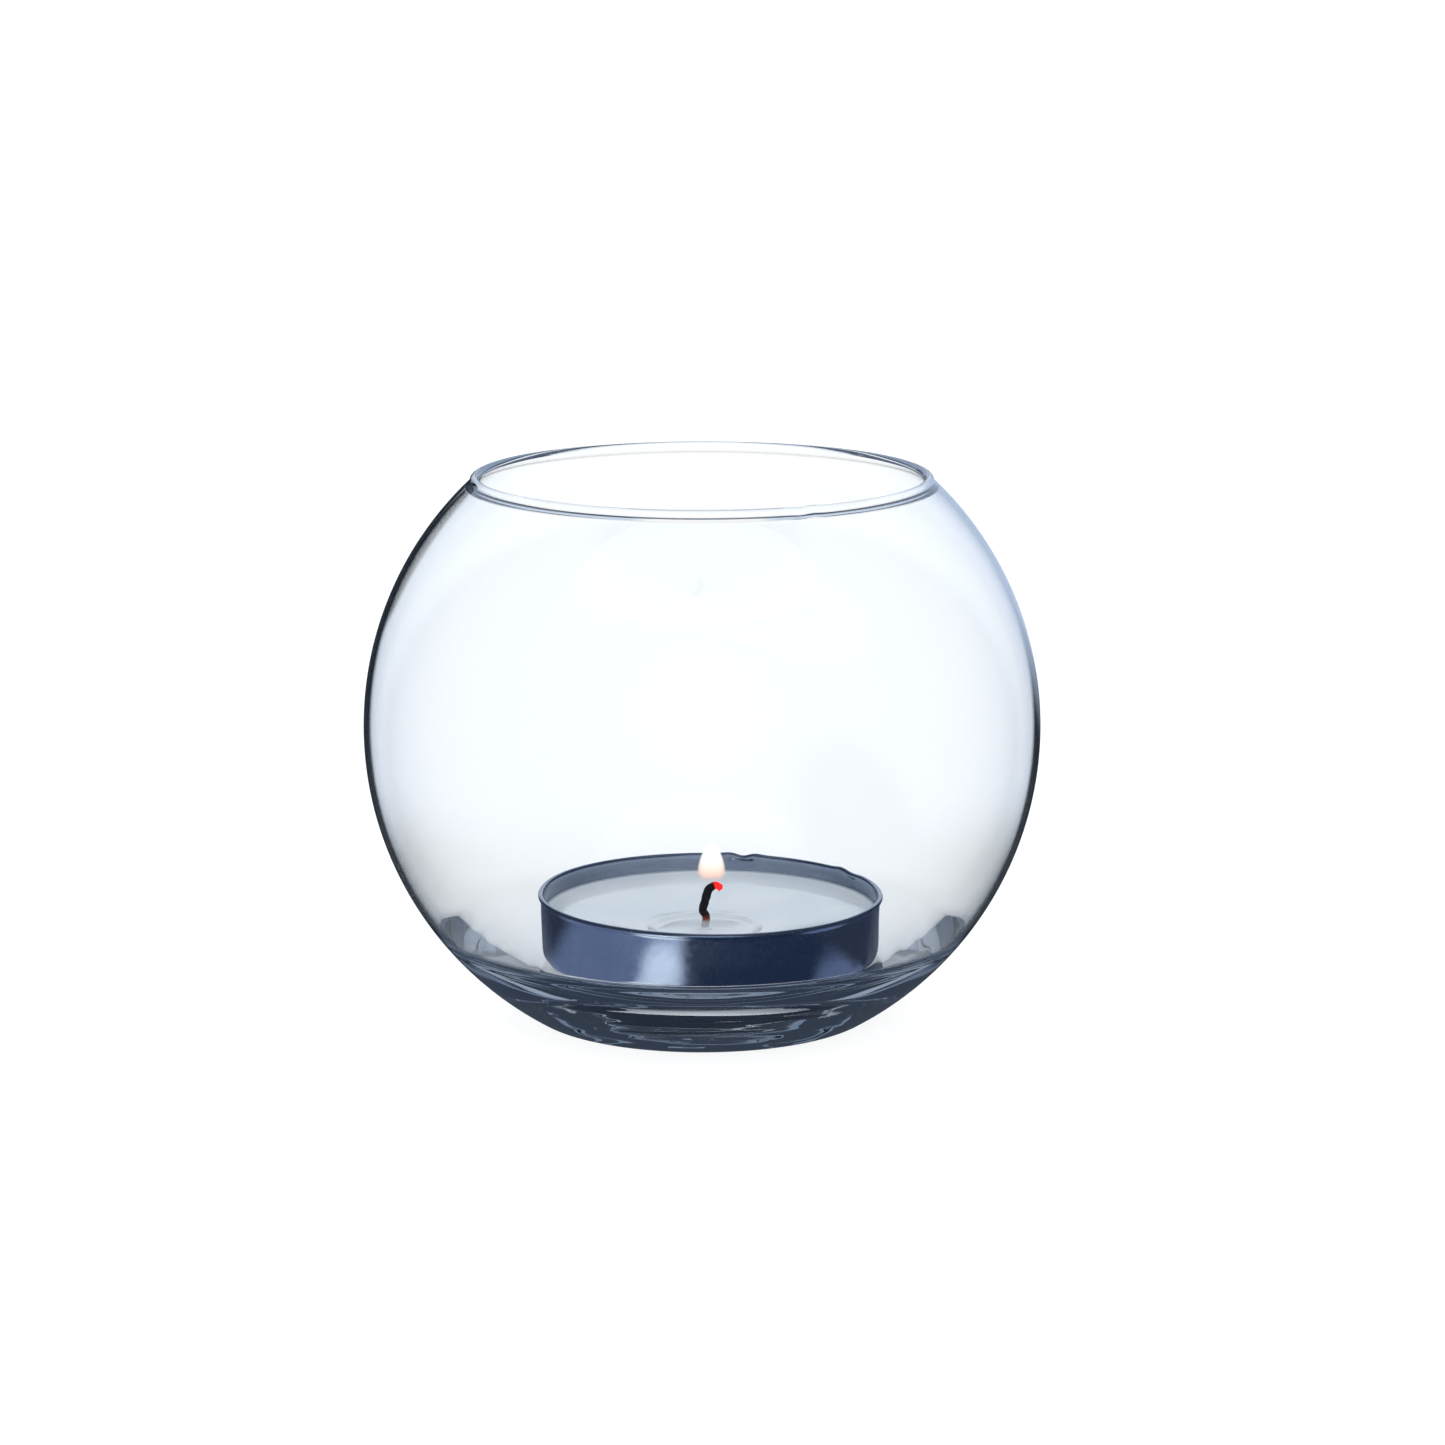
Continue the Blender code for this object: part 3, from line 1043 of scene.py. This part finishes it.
@dataclass
class Wick:
    """The burnt cotton wick, kinked and hooked over at its glowing tip."""

    axis: tuple[float, float]
    bottom: float
    leave: float
    radius: float = 0.00044
    tip_share: float = 0.8
    tip_round: float = 0.72
    tip_reach: float = 0.35
    strands: int = 3
    twist: float = 2600.0
    rope_depth: float = 0.06
    char_swell: float = 0.08
    char_lumps: float = 0.25
    lump_width: float = 0.0005
    route: tuple[tuple[float, float], ...] = (
        (0.0001, 0.0016),
        (-0.00024, 0.0023),
        (0.0, 0.0033),
        (0.00036, 0.0046),
        (0.0012, 0.0052),
        (0.0019, 0.0049),
    )
    steps: int = 12
    sides: int = 24
    finish: Finish = CharredCotton()

    def path(self) -> list[Vector]:
        """Return points close together along the wick, from its foot to its tip."""
        knots = [Vector((0.0, 0.0, self.bottom)), Vector((0.0, 0.0, (self.bottom + self.leave) / 2))]
        knots.append(Vector((0.0, 0.0, self.leave)))
        knots += [Vector((side, 0.0, self.leave + up)) for side, up in self.route]
        points = []
        for i in range(len(knots) - 1):
            before = knots[max(i - 1, 0)]
            after = knots[min(i + 2, len(knots) - 1)]
            for step in range(self.steps):
                s = step / self.steps
                lean_in = (knots[i + 1] - before) / 2
                lean_out = (after - knots[i]) / 2
                points.append(
                    knots[i] * (1 - 3 * s**2 + 2 * s**3)
                    + knots[i + 1] * (3 * s**2 - 2 * s**3)
                    + lean_in * (s - 2 * s**2 + s**3)
                    + lean_out * (s**3 - s**2)
                )
        points.append(knots[-1])
        return [p + Vector((*self.axis, 0.0)) for p in points]

    def build(self, effects: Effects) -> None:
        """Build and dress the wick, then tie it to its body.

        Args:
            effects: Shared node groups.
        """
        path = self.path()
        lengths = [0.0]
        for before, after in zip(path, path[1:]):
            lengths.append(lengths[-1] + (after - before).length)
        mesh = bmesh.new()
        rings = [[mesh.verts.new(path[0])]]
        shares = [0.0]
        side = Vector((0.0, 1.0, 0.0))
        for i, point in enumerate(path):
            along = (path[min(i + 1, len(path) - 1)] - path[max(i - 1, 0)]).normalized()
            across = along.cross(side).normalized()
            share = lengths[i] / lengths[-1]
            taper = 1.0 - (1.0 - self.tip_share) * smooth_step(0.8, 1.0, share)
            if i == len(path) - 1:
                taper *= self.tip_round
            ring = []
            for k in range(self.sides):
                turn = math.tau * k / self.sides
                rope = math.cos(self.strands * turn - self.twist * lengths[i])
                lump = noise.noise(Vector((lengths[i] / self.lump_width, math.cos(turn), math.sin(turn))))
                burnt = smooth_step(0.45, 0.6, share)
                char = burnt * (self.char_swell + self.char_lumps * lump)
                reach = self.radius * taper * (1.0 + self.rope_depth * rope + char)
                spoke = across * math.cos(turn) + side * math.sin(turn)
                ring.append(mesh.verts.new(point + spoke * reach))
            rings.append(ring)
            shares.append(share)
        ahead = (path[-1] - path[-2]).normalized()
        rings.append([mesh.verts.new(path[-1] + ahead * self.radius * self.tip_reach)])
        shares.append(1.0)
        skin(mesh, rings, False)
        values = [share for ring, share in zip(rings, shares) for _ in ring]
        piece = link_piece(mesh, "cotton_wick")
        mark_shares(piece, values)
        piece.data.materials.append(self.finish.make(effects))
        settle(piece, Body.CANDLE, "wick")


@dataclass
class Flame:
    """The flame: nested shells of thin gas, narrow at the top and open at the foot."""

    axis: tuple[float, float]
    foot: float
    height: float = 0.0046
    radius: float = 0.00155
    tip_drop: float = 0.12
    shells: tuple[tuple[float, float, float], ...] = (
        (1.06, 0.00, 0.10),
        (1.00, 0.02, 0.20),
        (0.93, 0.05, 0.35),
        (0.84, 0.09, 0.50),
        (0.72, 0.14, 0.60),
        (0.56, 0.20, 0.70),
    )
    widths: tuple[tuple[float, float], ...] = (
        (0.0, 0.70),
        (0.1, 0.92),
        (0.2, 1.0),
        (0.35, 0.97),
        (0.55, 0.85),
        (0.75, 0.64),
        (0.88, 0.42),
        (0.96, 0.22),
        (1.0, 0.0),
    )
    rows: int = 40
    segments: int = 40

    def width_at(self, share: float) -> float:
        """Return the flame's width.

        Args:
            share: Share of the height.

        Returns:
            The width as a share of the widest.
        """
        for (low, narrow), (high, wide) in zip(self.widths, self.widths[1:]):
            if share <= high:
                return narrow + (wide - narrow) * (share - low) / (high - low)
        return 0.0

    def outline(self, size: float, lift: float) -> tuple[list[Station], list[float]]:
        """Return one shell's outline from foot to tip.

        Args:
            size: Width of the shell as a share of the flame's.
            lift: How far its foot stands above the flame's, as a share of the height.

        Returns:
            Stations, and each one's share of the flame's height.
        """
        top = 1.0 - self.tip_drop * (self.shells[0][0] - size)
        shares = [lift + (top - lift) * i / self.rows for i in range(self.rows + 1)]
        near = 0.5 / self.rows
        stations = []
        for share in shares:
            place = (share - lift) / (top - lift)
            widths = [self.width_at(place + d) for d in (-near, 0.0, near)]
            stations.append(Station(self.radius * size * sum(widths) / 3, self.foot + self.height * share))
        stations[0] = Station(0.0, stations[0].height)
        stations[-1] = Station(0.0, stations[-1].height)
        return stations, shares

    def build(self, effects: Effects) -> None:
        """Build and dress the shells, then tie them to the candle.

        Args:
            effects: Shared node groups.
        """
        for number, (size, lift, cover) in enumerate(self.shells):
            stations, shares = self.outline(size, lift)
            piece = turned(f"flame_shell_{number}", stations, self.axis, self.segments)
            values = []
            for station, share in zip(stations, shares):
                values += [share] * (1 if station.radius < ON_AXIS else self.segments)
            mark_shares(piece, values)
            piece.data.materials.append(FlameGlow(f"flame_glow_{number}", cover).make(effects))
            settle(piece, Body.CANDLE, None)


@dataclass(frozen=True)
class SoftBox:
    """One soft patch of light in the studio round the object.

    Attributes:
        azimuth: Direction of its middle, in degrees, 0 towards the viewer.
        elevation: Height of its middle, in degrees.
        inner: Half width of its even middle, in degrees.
        soft: Width of its fading edge, in degrees.
        color: Its light.
    """

    azimuth: float
    elevation: float
    inner: float
    soft: float
    color: Rgb


@dataclass(frozen=True)
class Surround:
    """The studio's light as one kind of reflection meets it.

    Attributes:
        light: Light where no soft box stands.
        boxes: Soft boxes and dark flags, each laid over those before it.
    """

    light: Rgb
    boxes: tuple[SoftBox, ...]

    def draw(self, board: NodeBoard, direction: bpy.types.NodeSocket) -> bpy.types.NodeSocket:
        """Add the nodes that give this light.

        Args:
            board: Board of the group that gets the nodes.
            direction: Unit vector from the object into the studio.

        Returns:
            The colour output.
        """
        view = (*self.light, 1.0)
        for box in self.boxes:
            turn, rise = math.radians(box.azimuth), math.radians(box.elevation)
            middle = (math.sin(turn) * math.cos(rise), -math.cos(turn) * math.cos(rise), math.sin(rise))
            near = board.add(
                "ShaderNodeVectorMath", {0: direction, 1: middle}, operation="DOT_PRODUCT"
            ).outputs["Value"]
            edge = math.cos(math.radians(box.inner + box.soft))
            share = board.spread(near, edge, math.cos(math.radians(box.inner)), 0.0, 1.0)
            view = board.blend(share, view, (*box.color, 1.0))
        return view


@dataclass
class Studio:
    """Floor, surrounding light and camera. Everything seen past the object is white.

    Attributes:
        soft_light: Light on surfaces that scatter it.
        outside: Light for rays mirrored on the outside of the bowl.
        inside: Light for rays mirrored behind its wall.
        trapped: Light for rays mirrored three or four, seven or eight times.
        ringed: Light for rays mirrored five or six times.
        guided: Light for rays led along inside the glass.
        floor_size: Side of the floor.
        floor_drop: Depth of the floor under the foot.
        floor_glow: Own light of the floor as the camera sees it.
        floor_shade: How much of the floor's shadow the camera sees.
        glass_glow: Own light of the floor seen through the glass.
        glass_shade: How much of the floor's shadow shows through the glass.
        eye_height: Height above the floor from which reflected directions are counted.
        camera_place: Where the viewer stands.
        camera_pitch: How far the viewer looks down, in degrees.
        camera_yaw: How far the viewer looks to the right, in degrees.
        focal_pixels: Focal length in pixels of the picture.
        image_pixels: Side of the picture in pixels.
        sensor: Width of the camera's sensor, in millimetres.
        bounces: How often a ray of light is followed on.
        clear_bounces: How many clear faces a ray may cross.
    """

    soft_light: Rgb = (1.10, 1.15, 1.20)
    outside: Surround = Surround(
        (0.60, 0.70, 0.84),
        (
            SoftBox(0.0, -90.0, 64.0, 14.0, (0.05, 0.065, 0.09)),
            SoftBox(0.0, 80.0, 20.0, 14.0, (0.10, 0.14, 0.20)),
            SoftBox(180.0, -46.0, 48.0, 3.5, (0.004, 0.008, 0.014)),
            SoftBox(202.0, 4.0, 6.0, 3.0, (0.004, 0.008, 0.014)),
            SoftBox(166.0, -1.0, 6.0, 3.0, (0.58, 0.70, 0.92)),
            SoftBox(45.0, -15.0, 10.0, 14.0, (0.03, 0.06, 0.11)),
            SoftBox(158.0, 10.0, 8.0, 14.0, (0.58, 0.70, 0.92)),
            SoftBox(180.0, -27.0, 14.0, 6.0, (0.88, 0.95, 1.0)),
            SoftBox(0.0, -90.0, 27.5, 4.0, (0.90, 0.96, 1.0)),
            SoftBox(180.0, 44.0, 12.0, 5.0, (0.05, 0.06, 0.08)),
            SoftBox(180.0, 68.0, 8.0, 5.0, (1.0, 1.0, 1.0)),
        ),
    )
    inside: Surround = Surround(
        (0.050, 0.065, 0.110),
        (
            SoftBox(0.0, 5.0, 18.0, 10.0, (0.58, 0.78, 0.96)),
            SoftBox(180.0, 16.0, 18.0, 16.0, (0.80, 0.90, 1.0)),
            SoftBox(180.0, -36.0, 24.0, 10.0, (0.88, 0.95, 1.0)),
            SoftBox(-52.0, -46.0, 22.0, 14.0, (0.34, 0.42, 0.63)),
            SoftBox(34.0, -50.0, 22.0, 8.0, (0.020, 0.045, 0.105)),
            SoftBox(66.0, -50.0, 5.0, 8.0, (0.32, 0.40, 0.61)),
            SoftBox(-23.0, -30.0, 1.5, 9.0, (1.0, 1.15, 1.4)),
            SoftBox(-23.0, -40.0, 1.5, 9.0, (2.0, 2.15, 2.2)),
            SoftBox(-24.0, -51.0, 1.5, 9.0, (2.2, 2.25, 2.2)),
        ),
    )
    trapped: Rgb = (0.036, 0.045, 0.062)
    ringed: Surround = Surround(
        (0.036, 0.045, 0.062),
        (
            SoftBox(112.0, 0.0, 30.0, 14.0, (0.45, 0.48, 0.52)),
            SoftBox(-112.0, 0.0, 30.0, 14.0, (0.45, 0.48, 0.52)),
        ),
    )
    guided: Rgb = (0.30, 0.32, 0.35)
    floor_size: float = 6.0
    floor_drop: float = 0.0001
    floor_glow: Rgb = (0.86, 0.86, 0.86)
    floor_shade: Rgb = (0.25, 0.25, 0.25)
    glass_glow: Rgb = (0.67, 0.695, 0.715)
    glass_shade: Rgb = (0.38, 0.38, 0.38)
    eye_height: float = 0.03
    camera_place: tuple[float, float, float] = (0.0, -0.5293, 0.14207)
    camera_pitch: float = 11.61
    camera_yaw: float = 0.2477
    focal_pixels: float = 4802.85
    image_pixels: float = 1445.0
    sensor: float = 36.0
    bounces: int = 64
    clear_bounces: int = 32

    def look_group(self) -> bpy.types.NodeTree:
        """Make the group that gives the studio's light in a direction to a mirrored ray."""
        counts = dict.fromkeys(("Mirrorings", "Passages"), "NodeSocketFloat")
        kinds = {"Direction": "NodeSocketVector", **counts}
        board, given, wanted = new_group("studio_light", kinds, {"Color": "NodeSocketColor"})
        count = given["Mirrorings"]
        surrounds = (self.outside, self.inside, self.ringed)
        outside, inside, ringed = (surround.draw(board, given["Direction"]) for surround in surrounds)
        view = board.blend(board.calc("GREATER_THAN", given["Passages"], 3.5), outside, inside)
        trapped, guided = (*self.trapped, 1.0), (*self.guided, 1.0)
        for least, further in ((2.5, trapped), (4.5, ringed), (6.5, trapped), (8.5, guided)):
            view = board.blend(board.calc("GREATER_THAN", count, least), view, further)
        board.join(view, wanted["Color"])
        return board.tree

    def look_at(
        self,
        board: NodeBoard,
        look: bpy.types.NodeTree,
        path: bpy.types.Node,
        direction: bpy.types.NodeSocket,
    ) -> bpy.types.NodeSocket:
        """Place the light group for the rays of a Light Path node.

        Args:
            board: Board of the world or the floor.
            look: The light group.
            path: The board's Light Path node.
            direction: Unit vector from the object into the studio.

        Returns:
            The colour output.
        """
        rays = {"Mirrorings": path.outputs["Glossy Depth"], "Passages": path.outputs["Transmission Depth"]}
        return board.use(look, {"Direction": direction, **rays}).outputs["Color"]

    def mirrored(self, board: NodeBoard, path: bpy.types.Node) -> bpy.types.NodeSocket:
        """Return a mask of the rays that were mirrored and never scattered.

        Args:
            board: Board of the world or the floor.
            path: The board's Light Path node.

        Returns:
            The mask's output.
        """
        glossy = board.calc("GREATER_THAN", path.outputs["Glossy Depth"], 0.5)
        scattered = board.calc("GREATER_THAN", path.outputs["Diffuse Depth"], 0.5)
        return board.calc("GREATER_THAN", board.calc("SUBTRACT", glossy, scattered), 0.5)

    def build_world(self, look: bpy.types.NodeTree) -> None:
        """Light the scene: white seen past the object, soft boxes in its reflections.

        Args:
            look: Group with the studio's light by direction.
        """
        world = bpy.data.worlds.new("studio")
        world.use_nodes = True
        bpy.context.scene.world = world
        board = NodeBoard(world.node_tree)
        path = board.add("ShaderNodeLightPath")
        mirrored = self.mirrored(board, path)
        direction = board.add("ShaderNodeTexCoord").outputs["Generated"]
        around = self.look_at(board, look, path, direction)
        soft = board.calc("GREATER_THAN", path.outputs["Diffuse Depth"], 0.5)
        open_air = board.blend(soft, (1.0, 1.0, 1.0, 1.0), (*self.soft_light, 1.0))
        back = world.node_tree.nodes["Background"]
        board.join(board.blend(mirrored, open_air, around), back.inputs["Color"])
        back.inputs["Strength"].default_value = 1.0

    def build_floor(self, look: bpy.types.NodeTree) -> None:
        """Lay the white floor, which keeps a faint shadow and is dark in reflections.

        Args:
            look: Group with the studio's light by direction.
        """
        mesh = bmesh.new()
        bmesh.ops.create_grid(mesh, x_segments=8, y_segments=8, size=self.floor_size / 2)
        floor = link_piece(mesh, "studio_floor")
        floor.location.z = -self.floor_drop
        material = bpy.data.materials.new("studio_floor")
        material.use_nodes = True
        material.cycles.emission_sampling = "NONE"
        board = NodeBoard(material.node_tree)
        path = board.add("ShaderNodeLightPath")
        mirrored = self.mirrored(board, path)
        seen = board.calc("MAXIMUM", path.outputs["Is Camera Ray"], path.outputs["Is Transmission Ray"])
        place = board.add("ShaderNodeTexCoord").outputs["Object"]
        lowered = board.add(
            "ShaderNodeVectorMath", {0: place, 1: (0.0, 0.0, self.eye_height)}, operation="SUBTRACT"
        )
        direction = board.add("ShaderNodeVectorMath", {0: lowered.outputs[0]}, operation="NORMALIZE")
        around = self.look_at(board, look, path, direction.outputs[0])
        through = path.outputs["Is Transmission Ray"]
        open_glow = board.blend(through, (*self.floor_glow, 1.0), (*self.glass_glow, 1.0))
        glow = board.blend(seen, (0.0, 0.0, 0.0, 1.0), open_glow)
        shader = material.node_tree.nodes["Principled BSDF"]
        shade = board.blend(through, (*self.floor_shade, 1.0), (*self.glass_shade, 1.0))
        board.join(board.blend(mirrored, shade, (0.0, 0.0, 0.0, 1.0)), shader.inputs["Base Color"])
        shader.inputs["Roughness"].default_value = 1.0
        shader.inputs["Specular IOR Level"].default_value = 0.0
        board.join(board.blend(mirrored, glow, around), shader.inputs["Emission Color"])
        shader.inputs["Emission Strength"].default_value = 1.0
        floor.data.materials.append(material)

    def build_camera(self) -> None:
        """Set the camera where the viewer of the photograph stands."""
        data = bpy.data.cameras.new("viewer")
        camera = bpy.data.objects.new("viewer", data)
        bpy.context.scene.collection.objects.link(camera)
        data.sensor_width = self.sensor
        data.lens = self.sensor * self.focal_pixels / self.image_pixels
        data.clip_start = 0.01
        camera.location = self.camera_place
        pitch = math.radians(90.0 - self.camera_pitch)
        camera.rotation_euler = (pitch, 0.0, -math.radians(self.camera_yaw))
        bpy.context.scene.camera = camera

    def build(self) -> None:
        """Build world, floor and camera, and set how far light is followed."""
        look = self.look_group()
        self.build_world(look)
        self.build_floor(look)
        self.build_camera()
        scene = bpy.context.scene
        scene.view_settings.view_transform = "Standard"
        scene.cycles.max_bounces = self.bounces
        scene.cycles.transmission_bounces = self.bounces
        scene.cycles.glossy_bounces = self.bounces
        scene.cycles.transparent_max_bounces = self.clear_bounces
        scene.cycles.use_denoising = True


def main() -> None:
    """Build every piece round the frame, then the studio."""
    logging.basicConfig(level=logging.INFO, format="%(name)s: %(message)s")
    effects = Effects(unevenness_group(), drawn_grain_group())

    bowl_low, bowl_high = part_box("glass_bowl")
    GlassBowl((bowl_high.x - bowl_low.x) / 2).build(effects)

    cup_low, cup_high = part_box("tealight_cup")
    cup = TealightCup(
        middle_of("tealight_cup"), cup_low.z, (cup_high.x - cup_low.x) / 2, cup_high.z - cup_low.z
    )
    cup.build(effects)

    tab_low, tab_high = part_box("wick_tab")
    wick_axis = middle_of("wick_tab")
    tab = WickTab(wick_axis, tab_low.z, (tab_high.x - tab_low.x) / 2, tab_high.z - tab_low.z)
    tab.build(effects)

    wax_low, wax_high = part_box("wax_puck")
    wax = WaxPuck(cup.axis, wick_axis, wax_low.z, wax_high.z, cup, tab)
    wax.build(effects)

    wick_low, wick_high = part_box("wick")
    Wick(wick_axis, wick_low.z, wax.pool_floor).build(effects)
    Flame((wick_axis[0] + FLAME_ASIDE, wick_axis[1]), wick_high.z - FLAME_OVERLAP).build(effects)

    Studio().build()


if __name__ == "__main__":
    main()
